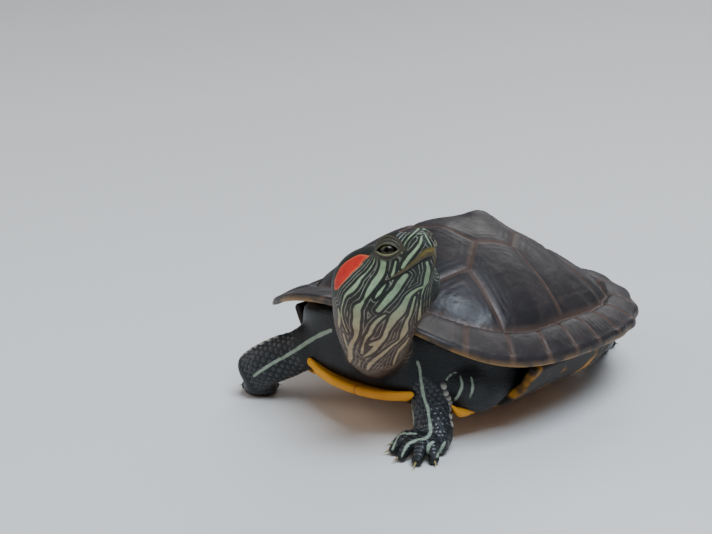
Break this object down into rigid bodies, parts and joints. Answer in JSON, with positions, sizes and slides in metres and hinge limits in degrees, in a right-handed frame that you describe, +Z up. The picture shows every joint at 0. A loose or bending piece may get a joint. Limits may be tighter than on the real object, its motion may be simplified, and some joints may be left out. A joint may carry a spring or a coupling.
{
  "type": "red-eared slider turtle",
  "caption": "Life-size still model of a young red-eared slider turtle, standing with its neck raised and its head turned to its left.",
  "frame": {"origin": "middle of the bounding box's base, on the floor that the feet stand on", "axes": "+Z up, -Y towards the front edge of the shell, +X towards the turtle's left side"},
  "size_m": [0.0864, 0.1182, 0.0583],
  "materials": {
    "carapace": "dark brown horn, half gloss, with scute seams and growth rings",
    "plastron": "orange-yellow horn with dark blotches, half gloss",
    "skin": "scaly black-green to brown skin with pale stripes and a red patch behind each eye",
    "beak": "smooth olive-yellow horn",
    "eye": "wet, dark, olive at its lower rim",
    "claw": "translucent yellow-brown horn, half gloss"
  },
  "bodies": {
    "root": {"carapace": "carapace", "eye_left": "eye", "eye_right": "eye", "fore_left_claw_1": "claw", "fore_left_claw_2": "claw", "fore_left_claw_3": "claw", "fore_left_claw_4": "claw", "fore_left_claw_5": "claw", "fore_left_forearm": "skin", "fore_left_hand": "skin", "fore_left_upper_arm": "skin", "fore_right_claw_1": "claw", "fore_right_claw_2": "claw", "fore_right_claw_3": "claw", "fore_right_claw_4": "claw", "fore_right_claw_5": "claw", "fore_right_forearm": "skin", "fore_right_hand": "skin", "fore_right_upper_arm": "skin", "head": "skin", "hind_left_claw_1": "claw", "hind_left_claw_2": "claw", "hind_left_claw_3": "claw", "hind_left_claw_4": "claw", "hind_left_foot": "skin", "hind_left_shank": "skin", "hind_left_thigh": "skin", "hind_right_claw_1": "claw", "hind_right_claw_2": "claw", "hind_right_claw_3": "claw", "hind_right_claw_4": "claw", "hind_right_foot": "skin", "hind_right_shank": "skin", "hind_right_thigh": "skin", "lower_jaw": "beak", "neck": "skin", "plastron": "plastron", "tail": "skin", "trunk": "skin"}
  },
  "joints": []
}
